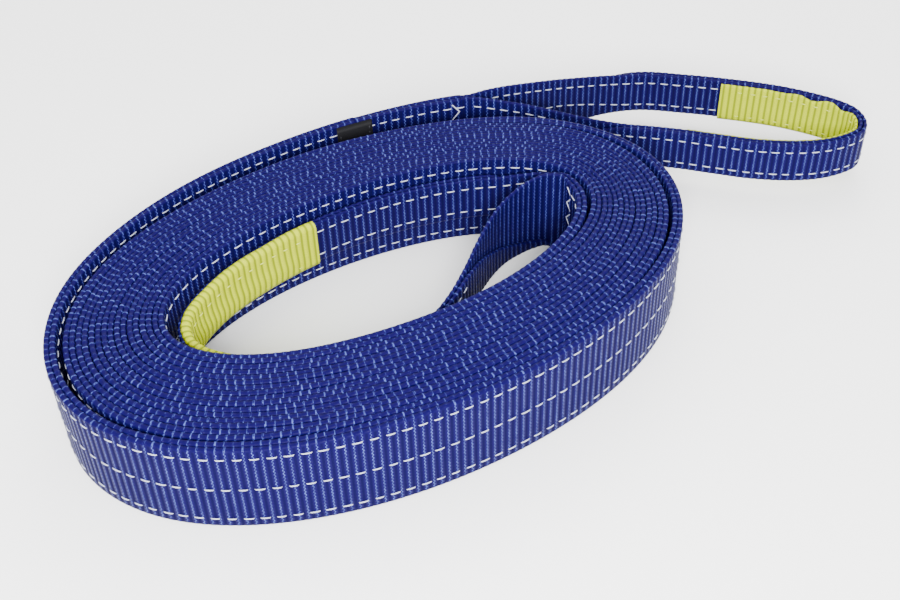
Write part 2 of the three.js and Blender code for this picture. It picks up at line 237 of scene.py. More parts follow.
def weave_group():
    """Ribs and yarns of a woven strap, from a UV map in millimetres. Rib: a raised cosine along.
    Yarn: a raised cosine across, shifted by half a yarn from one side of a rib to the other.
    Painted highlight is where a yarn goes over a rib's crest, in random patches; painted shade darkens the
    hollow between two ribs."""
    tree = bpy.data.node_groups.new("ribbed_weave", "ShaderNodeTree")
    add = tree.interface.new_socket
    # after the two pitches, the colour inputs: painted shade for the hollows between ribs, the cloth's own
    # colour, painted highlight for the crests, and the highlight's strength
    for name, kind, value in (
        ("Rib pitch", "NodeSocketFloat", 3.75),
        ("Yarn pitch", "NodeSocketFloat", 1.2),
        ("Valley shade", "NodeSocketColor", (0.01, 0.01, 0.1, 1)),
        ("Base", "NodeSocketColor", (0.02, 0.02, 0.2, 1)),
        ("Painted highlight", "NodeSocketColor", (0.2, 0.3, 0.7, 1)),
        ("Highlight strength", "NodeSocketFloat", 0.7),
    ):
        socket = add(name=name, in_out="INPUT", socket_type=kind)
        socket.default_value = value
    add(name="Color", in_out="OUTPUT", socket_type="NodeSocketColor")
    for name in ("Height", "Roughness"):
        add(name=name, in_out="OUTPUT", socket_type="NodeSocketFloat")
    nodes, link = tree.nodes, tree.links.new
    given, result = nodes.new("NodeGroupInput"), nodes.new("NodeGroupOutput")
    place = nodes.new("ShaderNodeUVMap")
    place.uv_map = "cloth"
    split = nodes.new("ShaderNodeSeparateXYZ")
    link(place.outputs[0], split.inputs[0])

    def math_node(kind, a, b=None, c=None):
        node = nodes.new("ShaderNodeMath")
        node.operation = kind
        for slot_number, value in enumerate((a, b, c)):
            if value is None:
                continue
            if isinstance(value, (int, float)):
                node.inputs[slot_number].default_value = value
            else:
                link(value, node.inputs[slot_number])
        return node.outputs[0]

    def wave(phase):
        cosine = math_node("COSINE", math_node("MULTIPLY", phase, 2 * math.pi))
        return math_node("MULTIPLY_ADD", cosine, 0.5, 0.5)

    def step(value, low, high):
        node = nodes.new("ShaderNodeMapRange")
        node.interpolation_type = "SMOOTHSTEP"
        link(value, node.inputs["Value"])
        node.inputs["From Min"].default_value = low
        node.inputs["From Max"].default_value = high
        return node.outputs["Result"]

    def noise(scale, detail):
        node = nodes.new("ShaderNodeTexNoise")
        node.inputs["Scale"].default_value = scale
        node.inputs["Detail"].default_value = detail
        link(place.outputs[0], node.inputs["Vector"])
        return node.outputs[0]

    along = math_node("DIVIDE", split.outputs[0], given.outputs["Rib pitch"])
    across = math_node("DIVIDE", split.outputs[1], given.outputs["Yarn pitch"])
    rib = wave(along)
    side = math_node("GREATER_THAN", math_node("FRACT", along), 0.5)
    yarn = wave(math_node("MULTIPLY_ADD", side, 0.5, across))
    blotch, fleck = noise(0.22, 3), noise(1.3, 2)
    # painted highlight: a tick where a yarn crosses a rib's crest, and random hooks along the selvedges
    crest = step(rib, 0.80, 0.97)
    tick = step(yarn, 0.35, 0.75)
    from_edge = math_node("PINGPONG", split.outputs[1], 25.0)
    selvedge = step(from_edge, 1.4, 0.7)
    hooked = math_node("MULTIPLY", step(fleck, 0.45, 0.58), 0.8)
    inside_edge = math_node("MULTIPLY", tick, math_node("SUBTRACT", 1.0, selvedge))
    tick = math_node("ADD", inside_edge, math_node("MULTIPLY", selvedge, hooked))
    # random patches in which the painted highlight is fainter
    uneven = math_node("MULTIPLY", step(blotch, 0.3, 0.7), step(fleck, 0.25, 0.6))
    patchy_highlight = math_node("MULTIPLY_ADD", uneven, 0.7, 0.3)
    highlight = math_node("MULTIPLY", math_node("MULTIPLY", crest, tick), patchy_highlight)
    highlight = math_node("MULTIPLY", highlight, given.outputs["Highlight strength"])
    # painted shade: the hollows between ribs take the darker colour, less of it near the selvedges
    shaded_valley = math_node("MULTIPLY", step(rib, 0.55, 0.0), math_node("MULTIPLY_ADD", selvedge, -0.7, 1.0))
    first, second = nodes.new("ShaderNodeMix"), nodes.new("ShaderNodeMix")
    for mix in (first, second):
        mix.data_type = "RGBA"
    link(shaded_valley, first.inputs[0])
    link(given.outputs["Base"], first.inputs[6])
    link(given.outputs["Valley shade"], first.inputs[7])
    link(highlight, second.inputs[0])
    link(first.outputs[2], second.inputs[6])
    link(given.outputs["Painted highlight"], second.inputs[7])
    link(second.outputs[2], result.inputs["Color"])
    over = math_node("MULTIPLY", step(rib, 0.2, 1.0), math_node("MULTIPLY_ADD", yarn, 0.8, 0.2))
    link(over, result.inputs["Height"])
    link(math_node("MULTIPLY_ADD", shaded_valley, 0.25, 0.42), result.inputs["Roughness"])
    return tree


def woven_material(name, valley_shade, base, highlight, highlight_strength, rib_pitch, yarn_pitch, sheen):
    """A woven cloth: the weave group's colour, with its painted highlights and painted shade, height and
    roughness on one plain cloth shader.
    """
    material = bpy.data.materials.new(name)
    material.use_nodes = True
    nodes, link = material.node_tree.nodes, material.node_tree.links.new
    shader = nodes["Principled BSDF"]
    shader.inputs["Specular IOR Level"].default_value = 0.035
    shader.inputs["Sheen Weight"].default_value = sheen
    shader.inputs["Sheen Roughness"].default_value = 0.4
    weave = nodes.new("ShaderNodeGroup")
    weave.node_tree = WEAVE
    for key, value in (("Valley shade", valley_shade), ("Base", base), ("Painted highlight", highlight)):
        weave.inputs[key].default_value = (*value, 1)
    weave.inputs["Highlight strength"].default_value = highlight_strength
    weave.inputs["Rib pitch"].default_value = rib_pitch
    weave.inputs["Yarn pitch"].default_value = yarn_pitch
    bump = nodes.new("ShaderNodeBump")
    bump.inputs["Strength"].default_value = 0.7
    bump.inputs["Distance"].default_value = 0.25 * MM
    link(weave.outputs["Height"], bump.inputs["Height"])
    link(weave.outputs["Color"], shader.inputs["Base Color"])
    link(weave.outputs["Roughness"], shader.inputs["Roughness"])
    link(bump.outputs[0], shader.inputs["Normal"])
    return material


WEAVE = weave_group()
# colours after the name: painted shade for the hollows between ribs, the webbing's own blue, painted
# highlight for the crests, then the highlight's strength
blue_webbing = woven_material(
    "blue_webbing", (0.0020, 0.0005, 0.027), (0.0036, 0.0007, 0.042), (0.10, 0.15, 0.50), 0.70, 3.75, 2.1, 0.0
)

# the plies of the coil, turn by turn, the last stretch of each bending on into the outer end
BODY_DEPTHS = {"inner": 1, "outer": 3}
PEEL_FROM, PEEL_TO = 8.41, 8.63
for ply, depth in BODY_DEPTHS.items():
    for number in range(9):
        last = number == 8
        piece, length = body_ply(
            f"{ply}_ply_turn_{number + 1}", number, PEEL_FROM if last else number + 1, depth, blue_webbing
        )
        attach(piece, "coil")
        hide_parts(f"body_{ply}_ply")
    piece, length = body_ply(f"{ply}_ply_peeling", PEEL_FROM, PEEL_TO, depth, blue_webbing)
    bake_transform(piece)
    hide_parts(f"body_{ply}_ply", f"outer_end_{ply}_ply")

# ---------------------------------------------------------------------------------------------
# The outer end. The last third of a turn stands off the coil at the back, both plies still face
# to face, as far as the throat of the outer eye, where the two plies part.
THROAT_BEND_FROM = 8.775
end_place, end_normal, end_heading = wound(TURNS)
for ply, depth in BODY_DEPTHS.items():
    piece, length = body_ply(f"{ply}_ply_outer_end", PEEL_TO, THROAT_BEND_FROM, depth, blue_webbing)
    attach(piece, "outer_end")
    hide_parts(f"outer_end_{ply}_ply")
    piece, length = body_ply(f"{ply}_ply_throat", THROAT_BEND_FROM, TURNS, depth, blue_webbing)
    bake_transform(piece)
    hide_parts(f"outer_end_{ply}_ply")

# ---------------------------------------------------------------------------------------------
# The eyes. Past each throat a single ply goes round as a loop. Its lower edge is turned up
# against its outer side, more and more, until it is folded in half lengthwise with both
# selvedges on top, so each leg of an eye is 25 mm high and two layers thick.
FOLD_ARC = 3.6 * MM
FOLD_STARTS = 3.0 * MM
FOLD_BEGINS_WITHIN = 14 * MM
FOLDED_HEIGHT = 25.5 * MM


def curve_through(points, step):
    """A centripetal Catmull-Rom curve through points, resampled at an even step: each stretch is
    a cubic whose slopes at its ends are those of the parabola through three neighbours, timed by
    the square root of the distances. Returns places, headings and distances."""
    points = np.asarray(points, float)
    first, last = 2 * points[0] - points[1], 2 * points[-1] - points[-2]
    q = np.vstack([first, points, last])
    gap = np.sqrt(np.linalg.norm(np.diff(q, axis=0), axis=1))
    p0, p1, p2, p3 = q[:-3], q[1:-2], q[2:-1], q[3:]
    d0, d1, d2 = gap[:-2, None], gap[1:-1, None], gap[2:, None]
    m1 = ((p1 - p0) / d0 - (p2 - p0) / (d0 + d1) + (p2 - p1) / d1) * d1
    m2 = ((p2 - p1) / d1 - (p3 - p1) / (d1 + d2) + (p3 - p2) / d2) * d1
    f = np.linspace(0, 1, 60, endpoint=False)[None, :, None]
    p1, p2, m1, m2 = p1[:, None], p2[:, None], m1[:, None], m2[:, None]
    c2, c3 = -3 * p1 + 3 * p2 - 2 * m1 - m2, 2 * p1 - 2 * p2 + m1 + m2
    line = np.vstack([(p1 + m1 * f + c2 * f**2 + c3 * f**3).reshape(-1, 2), points[-1]])
    length = np.concatenate([[0], np.cumsum(np.linalg.norm(np.diff(line, axis=0), axis=1))])
    s = np.linspace(0, length[-1], round(length[-1] / step) + 1)
    place = np.stack([np.interp(s, length, line[:, k]) for k in (0, 1)], -1)
    slope = np.gradient(place, s, axis=0)
    return place, slope / np.linalg.norm(slope, axis=1, keepdims=True), s


class Eye:
    """One eye's line and how far its web is folded at each place on it."""

    def __init__(self, route, lift, runs, side, sag):
        """side is +1 where the outside of the loop lies to the right of its heading; sag is how
        much lower than its lift it lies at each share of its length."""
        step = RIB_PITCH / STEPS_PER_RIB
        self.place, heading, self.s = curve_through(route, step)
        self.length = self.s[-1]
        self.out = side * np.stack([heading[:, 1], -heading[:, 0]], -1)
        from_ends = np.minimum(self.s / runs[0], (self.length - self.s) / runs[1])
        near_end = np.minimum(self.s, self.length - self.s)
        self.folded = ease(from_ends)
        self.curl = np.pi * ease(near_end / FOLD_BEGINS_WITHIN)
        self.fold_at = FOLD_STARTS + (WEB_WIDTH / 2 - FOLD_STARTS) * self.folded
        risen = (lift + FOLDED_HEIGHT - WEB_WIDTH) * self.folded
        self.top = WEB_WIDTH + risen - sag(self.s / self.length)
        self.arc_radius = FOLD_ARC / np.maximum(self.curl, 0.05)
        panel = WEB_WIDTH - self.fold_at - FOLD_ARC / 2
        self.bottom = np.where(self.curl > 2.8, self.top - panel - FOLD_ARC / np.pi, self.top - WEB_WIDTH)
        self.bottom = np.maximum(self.bottom, 0)

    def profile(self, width):
        """Across the web from the turned-up selvedge: the way it points starts out turned back by
        the curl, comes round over the fold's arc and then points straight up. Adding that up from
        the upper selvedge gives how far out and how high each point lies."""
        start = (self.fold_at - FOLD_ARC / 2)[:, None]
        turned = np.clip((width - start) / FOLD_ARC, 0, 1)
        angle = np.pi / 2 - self.curl[:, None] * (1 - turned)
        middle = (angle[:, 1:] + angle[:, :-1]) / 2
        step = np.diff(width, axis=1)
        out = np.zeros_like(width)
        high = np.zeros_like(width)
        out[:, :-1] = np.cumsum((np.cos(middle) * step)[:, ::-1], 1)[:, ::-1]
        high[:, :-1] = -np.cumsum((np.sin(middle) * step)[:, ::-1], 1)[:, ::-1]
        return out, high + self.top[:, None], angle

    def at(self, out, high):
        """A point this far out from the eye's line, this high."""
        flat = self.place + self.out * np.asarray(out)[..., None]
        return np.concatenate([flat, np.broadcast_to(high, flat.shape[:1])[:, None]], -1)


def eye_web(node, name, eye, material):
    """The eye's web: the fold's profile across, carried along the eye's line, with ribs."""
    turn = np.radians([0, 35, 65, 90])
    edge = WEB_THICK / 2 * (1 - np.cos(turn))
    fold_low = (eye.fold_at - FOLD_ARC / 2)[:, None]
    fold_high = fold_low + FOLD_ARC
    low = edge[None] + 0 * fold_low
    flap = edge[-1] + (fold_low - edge[-1]) * np.array([0.35, 0.7])[None]
    arc = fold_low + (fold_high - fold_low) * np.linspace(0, 1, 9)[None]
    panel = fold_high + (WEB_WIDTH - edge[-1] - fold_high) * np.array([0.25, 0.5, 0.75])[None]
    high = WEB_WIDTH - edge[::-1][None] + 0 * fold_low
    width = np.sort(np.concatenate([low, flap, arc, panel, high], 1), 1)
    ends = np.minimum(width, WEB_WIDTH - width)
    share = np.sqrt(1 - np.clip(1 - ends / (WEB_THICK / 2), 0, 1) ** 2)
    out, height, angle = eye.profile(width)
    rib = ridge(eye.s, RIB_PITCH)[:, None]
    flat = eye.place[:, None] + eye.out[:, None] * out[..., None]
    edge_way = np.where(width < WEB_WIDTH / 2, -np.sin(angle), np.sin(angle)) * (ends < 2 * MM)
    height = height + (rib - 0.4) * RIB_RISE * edge_way
    middle = np.concatenate([flat, height[..., None]], -1)
    facing = eye.out[:, None] * np.sin(angle)[..., None]
    normal = np.concatenate([facing, np.cos(angle)[..., None]], -1)
    half = (WEB_THICK / 2 - RIB_RISE + RIB_RISE * rib) * share
    piece = strap(name, middle, normal, half, eye.s, width, material)
    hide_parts(node)
    return piece


# the outer eye's plan, in millimetres from its throat: along the body's heading, and away from the coil
OUTER_EYE_PLAN = [
    (15, 5), (39, 12.5), (64, 20.5), (88, 24.8), (110, 23.3), (131, 15.5), (154, 5.5), (182, -9.5),
    (205, -28), (210.8, -37), (211, -46.5), (207, -53), (199, -56.5), (185.5, -58.3), (169.7, -56.3),
    (150, -50), (132.5, -41.5), (113.4, -31.8), (94.3, -23.7), (76, -17.3), (57, -12.2), (36, -7.6),
    (17, -4.4),
]
OUTER_LIFT = 6 * MM
far_end = end_place + end_normal * depth_of(TURNS, 3)
near_end = end_place + end_normal * depth_of(TURNS, 1)
middle_end = end_place + end_normal * DUPLEX / 2
plan = [middle_end + (end_heading * (a + 1.6) + end_normal * b) * MM for a, b in OUTER_EYE_PLAN]
route = [far_end, far_end + end_heading * 5 * MM, *plan, near_end + end_heading * 5 * MM, near_end]
outer_eye = Eye(route, OUTER_LIFT, (112 * MM, 95 * MM), -1, lambda f: 0 * f)
outer_folded_web = eye_web("outer_eye_web", "outer_folded_web", outer_eye, blue_webbing)
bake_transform(outer_folded_web)

# the inner eye's plan: along the hole's wall, as that wall's turn and the gap to it in millimetres,
# then across the hole to the throat, as shares of the hole's half length and half width
INNER_EYE_ALONG_WALL = [
    (0.91, 1.2), (0.88, 1.2), (0.85, 1.3), (0.82, 1.5), (0.79, 1.9), (0.765, 2.6), (0.74, 3.6), (0.715, 4.4),
    (0.69, 4.8), (0.66, 5), (0.62, 4.6), (0.57, 4.2), (0.52, 3.8), (0.46, 2.6), (0.41, 1.7), (0.37, 1.3),
    (0.335, 1.2), (0.305, 1.2), (0.28, 1.2),
]
INNER_EYE_CROSSING = [
    (-0.1, -0.93), (0.04, -0.87), (0.17, -0.72), (0.29, -0.51), (0.41, -0.27), (0.53, -0.05), (0.64, 0.11),
    (0.75, 0.21), (0.85, 0.26), (0.93, 0.25),
]
INNER_LIFT = 17 * MM
WALL_SIDE = DUPLEX - WEB_THICK / 2 + 0.7 * MM
along_wall = np.array(INNER_EYE_ALONG_WALL)
wall, wall_normal, _ = wound(along_wall[:, 0])
hugging = wall - wall_normal * (WALL_SIDE + along_wall[:, 1:] * MM)
crossing = np.array(INNER_EYE_CROSSING) * [HOLE_HALF_LENGTH, HOLE_HALF_WIDTH] + COIL_MIDDLE
start_place, start_normal, start_heading = wound(0.0)
back_end = start_place + start_normal * depth_of(0, 3)
front_end = start_place + start_normal * depth_of(0, 1)
route = [
    back_end, back_end - start_heading * 5 * MM, *hugging, *crossing,
    front_end - start_heading * 5 * MM, front_end,
]
INNER_SAG = 4 * MM


def inner_sag(share):
    """The near side hangs a little lower, from half way round to four fifths."""
    return INNER_SAG * ease((share - 0.5) / 0.1) * ease((0.8 - share) / 0.08)


inner_eye = Eye(route, INNER_LIFT, (45 * MM, 105 * MM), 1, inner_sag)
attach(eye_web("inner_eye_web", "inner_folded_web", inner_eye, blue_webbing), "coil")

# ---------------------------------------------------------------------------------------------
# The wear pads. A strip of thick yellow-green webbing is sewn inside the crown of each eye. On the
# inner eye its plain upper edge is turned over the leg's two selvedges; on the outer eye it stops
# just below them.
PAD_LENGTH = 190 * MM
PAD_THICK = 1.8 * MM
PAD_RIB_RISE = 0.3 * MM
PAD_RIB_PITCH = 3.5 * MM
PAD_STAND_OFF = WEB_THICK / 2 + 0.2 * MM + PAD_THICK / 2
OUTER_PAD_SHIFT = 18 * MM
INNER_PAD_SHIFT = -7 * MM
# colours after the name: painted shade for the hollows between ribs, the pad's own yellow-green, painted
# highlight for the crests, then the highlight's strength
yellow_pad = woven_material(
    "yellow_pad", (0.16, 0.20, 0.0), (0.36, 0.41, 0.0), (0.50, 0.54, 0.0), 0.6, 3.5, 1.6, 0.0
)


def pad(node, name, eye, shift, lip, crease, bunch):
    """A pad's middle surface: up the inside of the leg, then over its top in a quarter circle and
    across. A crease pushes a line across its height inwards; bunching lifts its upper edge."""
    near = np.abs(eye.s - eye.length / 2 - shift) <= PAD_LENGTH / 2
    s = eye.s[near]
    s = s - s[0]
    place, out = eye.place[near], eye.out[near]
    sunk = (eye.top[near] - FOLDED_HEIGHT)[:, None]
    foot = 0.8 * MM
    turned_over = lip > 1 * MM
    head = FOLDED_HEIGHT + (0.4 * MM if turned_over else -1.2 * MM)
    corner = 1.6 * MM if turned_over else 0.5 * MM
    rise = np.linspace(0, head - corner - foot, 11)
    bend = np.radians(np.linspace(0, 90, 6))[1:]
    over = np.linspace(0, lip, 3)[1:]
    x = np.concatenate([np.zeros(11), corner * (1 - np.cos(bend)), corner + over])
    z = np.concatenate([foot + rise, head - corner + corner * np.sin(bend), np.full(2, head)])
    angle = np.concatenate([np.zeros(11), bend, np.full(2, np.pi / 2)])
    width = np.concatenate([[0], np.cumsum(np.hypot(np.diff(x), np.diff(z)))])
    share = np.sqrt(1 - np.clip(1 - np.minimum(width, width[-1] - width) / (PAD_THICK / 2), 0, 1) ** 2)
    share = np.maximum(share, 0.02)
    inward = crease(s)[:, None] * np.exp(-(((z - foot - 8 * MM) / (5 * MM)) ** 2))[None]
    lifted = bunch(s)[:, None] * ease((z - foot - 12 * MM) / (12 * MM))[None]
    lean = 0.5 * lifted * np.cos(s / (3.1 * MM))[:, None]
    away = x[None] - PAD_STAND_OFF - inward - np.abs(lean)
    rib = ridge(s, PAD_RIB_PITCH)[:, None]
    plain = ease((width - 23 * MM) / (1.5 * MM))[None]
    swell = rib * (1 - plain) + 0.8 * plain
    half = (PAD_THICK / 2 - PAD_RIB_RISE + PAD_RIB_RISE * swell) * share[None]
    flat = place[:, None] + out[:, None] * away[..., None]
    middle = np.concatenate([flat, (z[None] + lifted + sunk)[..., None]], -1)
    upward = np.broadcast_to(np.sin(angle)[None, :, None], (len(s), len(z), 1))
    way = np.concatenate([-np.cos(angle)[None, :, None] * out[:, None], upward], -1)
    piece = strap(name, middle, way, half, s, width[None], yellow_pad)
    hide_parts(node)
    return piece, (place, out, s, sunk)


def inner_crease(s):
    """A crease that fades in over 20 mm and out over 50 mm."""
    return 1.3 * MM * ease(s / 0.02) * ease((0.19 - s) / 0.05)


def inner_bunch(s):
    return 0.25 * MM * np.sin(s / 0.006)


def outer_crease(s):
    return 0.5 * MM + 0 * s


def outer_bunch(s):
    """Puckers gathered about 62 mm along, in a bell 22 mm wide, on an edge 0.4 mm lower."""
    return MM * (1.3 * np.exp(-(((s - 0.062) / 0.022) ** 2)) * np.sin(s / 0.0030) - 0.4)


inner_pad, inner_pad_line = pad(
    "inner_eye_pad", "inner_pad_strip", inner_eye, INNER_PAD_SHIFT, 2.4 * MM, inner_crease, inner_bunch
)
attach(inner_pad, "coil")
outer_pad, outer_pad_line = pad(
    "outer_eye_pad", "outer_pad_strip", outer_eye, OUTER_PAD_SHIFT, 0.2 * MM, outer_crease, outer_bunch
)
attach(outer_pad, "outer_eye")

# ---------------------------------------------------------------------------------------------
# The seams. White polyester thread shows as dashes about 5 mm long every 7 mm: three rows along
# the body through both plies and two rows round each eye. Two rows along each pad are in a paler
# yellow-green thread.
STITCH_PITCH = 7.15 * MM
STITCH_LENGTH = 5.2 * MM
STITCH_WIDTH = 0.75 * MM


def thread_material():
    """White twisted thread: fine slanted bands of grey along it, from the UV map."""
    material = bpy.data.materials.new("white_thread")
    material.use_nodes = True
    nodes, link = material.node_tree.nodes, material.node_tree.links.new
    shader = nodes["Principled BSDF"]
    shader.inputs["Roughness"].default_value = 0.5
    shader.inputs["Specular IOR Level"].default_value = 0.2
    place = nodes.new("ShaderNodeUVMap")
    place.uv_map = "cloth"
    twist = nodes.new("ShaderNodeTexWave")
    twist.bands_direction = "DIAGONAL"
    twist.inputs["Scale"].default_value = 0.55
    twist.inputs["Distortion"].default_value = 0.6
    link(place.outputs[0], twist.inputs["Vector"])
    ramp = nodes.new("ShaderNodeValToRGB")
    ramp.color_ramp.elements[0].color = (0.22, 0.24, 0.34, 1)
    ramp.color_ramp.elements[1].color = (0.55, 0.57, 0.66, 1)
    link(twist.outputs[1], ramp.inputs[0])
    link(ramp.outputs[0], shader.inputs["Base Color"])
    bump = nodes.new("ShaderNodeBump")
    bump.inputs["Distance"].default_value = 0.1 * MM
    link(twist.outputs[1], bump.inputs["Height"])
    link(bump.outputs[0], shader.inputs["Normal"])
    return material


white_thread = thread_material()


def recoloured(material, name, dark, light):
    """A copy of a material whose colours run from dark to light."""
    copy = material.copy()
    copy.name = name
    ramp = next(n for n in copy.node_tree.nodes if n.type == "VALTORGB")
    ramp.color_ramp.elements[0].color = (*dark, 1)
    ramp.color_ramp.elements[1].color = (*light, 1)
    return copy


def seam(name, line, face, material, pitch=STITCH_PITCH, length=STITCH_LENGTH, start=0.0, runs_on=False):
    """A row of stitches on a line that lies on cloth: each is a short rounded bar, five rings of
    six points, whose two ends dip into the cloth. face is the way the cloth faces; start is how
    far along the whole seam the line begins, so that a seam that runs on does so evenly."""
    s = np.concatenate([[0], np.cumsum(np.linalg.norm(np.diff(line, axis=0), axis=1))])
    first, last = (0, s[-1]) if runs_on else (length / 2, s[-1] - length / 2)
    middles = np.arange(np.ceil((start + first) / pitch) * pitch, start + last - 1e-6, pitch) - start
    beyond = 5 * MM
    before = line[0] + (line[0] - line[1]) / s[1] * beyond
    after = line[-1] + (line[-1] - line[-2]) / (s[-1] - s[-2]) * beyond
    line = np.vstack([before, line, after])
    face = np.vstack([face[:1], face, face[-1:]])
    s = np.concatenate([[-beyond], s, [s[-1] + beyond]])
    middles = middles + random.uniform(-0.25, 0.25, len(middles)) * MM
    lengths = length * random.uniform(0.88, 1.08, len(middles))
    reach_along = np.array([-0.5, -0.34, 0, 0.34, 0.5])
    lift = np.array([-0.45, 0.12, 0.22, 0.12, -0.45]) * MM
    girth = np.array([0.25, 0.85, 1.0, 0.85, 0.25]) * STITCH_WIDTH / 2
    at = middles[:, None] + lengths[:, None] * reach_along[None]
    centre = np.stack([np.interp(at, s, line[:, k]) for k in range(3)], -1)
    way = np.stack([np.interp(at, s, face[:, k]) for k in range(3)], -1)
    way /= np.linalg.norm(way, axis=-1, keepdims=True)
    heading = np.gradient(centre, axis=1)
    side = np.cross(heading, way)
    side /= np.linalg.norm(side, axis=-1, keepdims=True)
    ring = np.radians(np.arange(6) * 60)
    spread = side[:, :, None] * np.cos(ring)[None, None, :, None]
    spread = spread + way[:, :, None] * 0.75 * np.sin(ring)[None, None, :, None]
    raised = centre[:, :, None] + way[:, :, None] * lift[None, :, None, None]
    grid = raised + spread * girth[None, :, None, None]
    faces = tube_faces(5, 6, len(middles))
    shape = grid.shape[:3]
    uv = np.stack([np.broadcast_to(at[:, :, None], shape), np.broadcast_to(ring * 0.4 * MM, shape)], -1)
    piece = mesh_object(name, grid.reshape(-1, 3), faces, uv.reshape(-1, 2), material)
    return piece


def body_seam(name, start, end, height, quarters, outward):
    """A row along the body between two turns, on its outer face or its inner face."""
    turn, s = web_rows(start, end, quarters)
    p, n, _ = wound(turn)
    flat = p + n * depth_of(turn, quarters)[:, None]
    line = np.concatenate([flat, np.full((len(p), 1), height)], -1)
    face = outward * np.concatenate([n, np.zeros((len(n), 1))], -1)
    return seam(name, line, face, white_thread, start=s[0], runs_on=True)


BODY_ROWS = {"lower": 5.5 * MM, "middle": 25 * MM, "upper": 44.5 * MM}
# for each face of the body: its depth, the way it faces, and the turn from which it shows
FACES = {"outside": (4, 1, 7.45), "inside": (0, -1, 8.3)}
for row, height in BODY_ROWS.items():
    for where, (quarters, outward, start) in FACES.items():
        piece = body_seam(f"body_{row}_row_{where}", start, PEEL_FROM, height, quarters, outward)
        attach(piece, "coil")
        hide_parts(f"body_stitch_{row}")
        piece = body_seam(f"peeling_{row}_row_{where}", PEEL_FROM, PEEL_TO, height, quarters, outward)
        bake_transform(piece)
        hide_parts(f"body_stitch_{row}", f"outer_end_stitch_{row}")
        piece = body_seam(
            f"outer_end_{row}_row_{where}", PEEL_TO, THROAT_BEND_FROM, height, quarters, outward
        )
        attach(piece, "outer_end")
        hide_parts(f"outer_end_stitch_{row}")
        piece = body_seam(f"throat_{row}_row_{where}", THROAT_BEND_FROM, TURNS, height, quarters, outward)
        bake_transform(piece)
        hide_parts(f"outer_end_stitch_{row}")
    piece = body_seam(f"hole_wall_{row}_row", 0.02, 1.0, height, 0, -1)
    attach(piece, "coil")


def eye_seams(name, eye, bare_below, place_piece):
    """The two rows of an eye, on the inside of its loop and on its outside. Each starts at the
    throat from one of the body's rows and sinks to its place on the folded leg. Outside, it lies
    on the turned-up half where that reaches it, and near the end of the loop it only begins where
    the web is folded further than bare_below."""
    heights = {
        "upper": eye.top - 5.5 * MM,
        "lower": 25 * MM + (eye.top - FOLDED_HEIGHT + 5.5 * MM - 25 * MM) * eye.folded,
    }
    surface = WEB_THICK / 2 - 0.1 * MM
    flap_top = eye.bottom + eye.fold_at
    for row, height in heights.items():
        inside = eye.at(np.full(len(eye.s), -surface), height)
        covered = ease((flap_top - height) / (1.5 * MM))
        outside = eye.at(surface + 2 * eye.arc_radius * covered * (eye.curl > 2), height)
        away = np.concatenate([eye.out, np.zeros((len(eye.s), 1))], -1)
        for where, line, face in (("inside", inside, -away), ("outside", outside, away)):
            if where == "outside":
                shown = (eye.s < eye.length / 2) | (eye.folded > bare_below)
                line, face = line[shown], face[shown]
            piece = seam(f"{name}_{row}_row_{where}", line, face, white_thread)
            place_piece(piece)
            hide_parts(f"{name}_stitch_{row}")


def with_outer_eye(piece):
    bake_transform(piece)


def with_coil(piece):
    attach(piece, "coil")


eye_seams("outer_eye", outer_eye, 0.0, with_outer_eye)
eye_seams("inner_eye", inner_eye, 0.95, with_coil)


def pad_seams(name, line, body):
    """Two rows along a pad, on its face, in the pads' yellow-green thread drawn in tighter."""
    place, out, s, sunk = line
    for row, height in (("lower", 4.6 * MM), ("upper", 20.5 * MM)):
        on_face = place - out * (PAD_STAND_OFF + PAD_THICK / 2 - 0.05 * MM)
        points = np.concatenate([on_face, sunk + height], -1)[6:-6]
        face = np.concatenate([-out, np.zeros((len(s), 1))], -1)[6:-6]
        piece = seam(f"{name}_{row}_row", points, face, pad_thread, length=3.2 * MM)
        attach(piece, body)
        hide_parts(f"{name}_stitch_{row}")


# the pads' thread, the same yellow-green as they are but paler, with its twist
pad_thread = recoloured(white_thread, "pad_thread", (0.34, 0.40, 0.02), (0.58, 0.62, 0.12))
pad_seams("inner_eye_pad", inner_pad_line, "coil")
pad_seams("outer_eye_pad", outer_pad_line, "outer_eye")

# ---------------------------------------------------------------------------------------------
# The throat tacks. A zigzag of the same thread, sewn to and fro up the width of the body just
# before the plies part, holds each throat.
TACK_TEETH = 9
TACK_WIDTH = 4 * MM


def throat_tack(node, name, distance, turn, material):
    """A zigzag tube on the body's inner face: six points round, its middle rising evenly while it
    goes from side to side in straight runs."""
    p, n, heading = wound(turn)
    p = p + heading * distance
    up = np.linspace(0, 1, TACK_TEETH * 6 + 1)
    swing_across = np.abs((up * TACK_TEETH) % 2 - 1) - 0.5
    flat = p[None] + heading[None] * (swing_across * TACK_WIDTH)[:, None] - n[None] * 0.15 * MM
    line = np.concatenate([flat, (3 * MM + up * 44 * MM)[:, None]], -1)
    forward = np.gradient(line, axis=0)
    forward /= np.linalg.norm(forward, axis=1, keepdims=True)
    face = np.broadcast_to(-np.append(n, 0.0), line.shape)
    side = np.cross(forward, face)
    ring = np.radians(np.arange(6) * 60)
    girth = STITCH_WIDTH / 2
    around = side[:, None] * np.cos(ring)[None, :, None]
    around = around + 0.7 * face[:, None] * np.sin(ring)[None, :, None]
    grid = line[:, None] + girth * around
    shape = grid.shape[:2]
    uv = np.stack([np.broadcast_to(up[:, None] * 0.09, shape), np.broadcast_to(ring * 0.4 * MM, shape)], -1)
    piece = mesh_object(name, grid.reshape(-1, 3), tube_faces(len(line), 6), uv.reshape(-1, 2), material)
    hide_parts(node)
    return piece


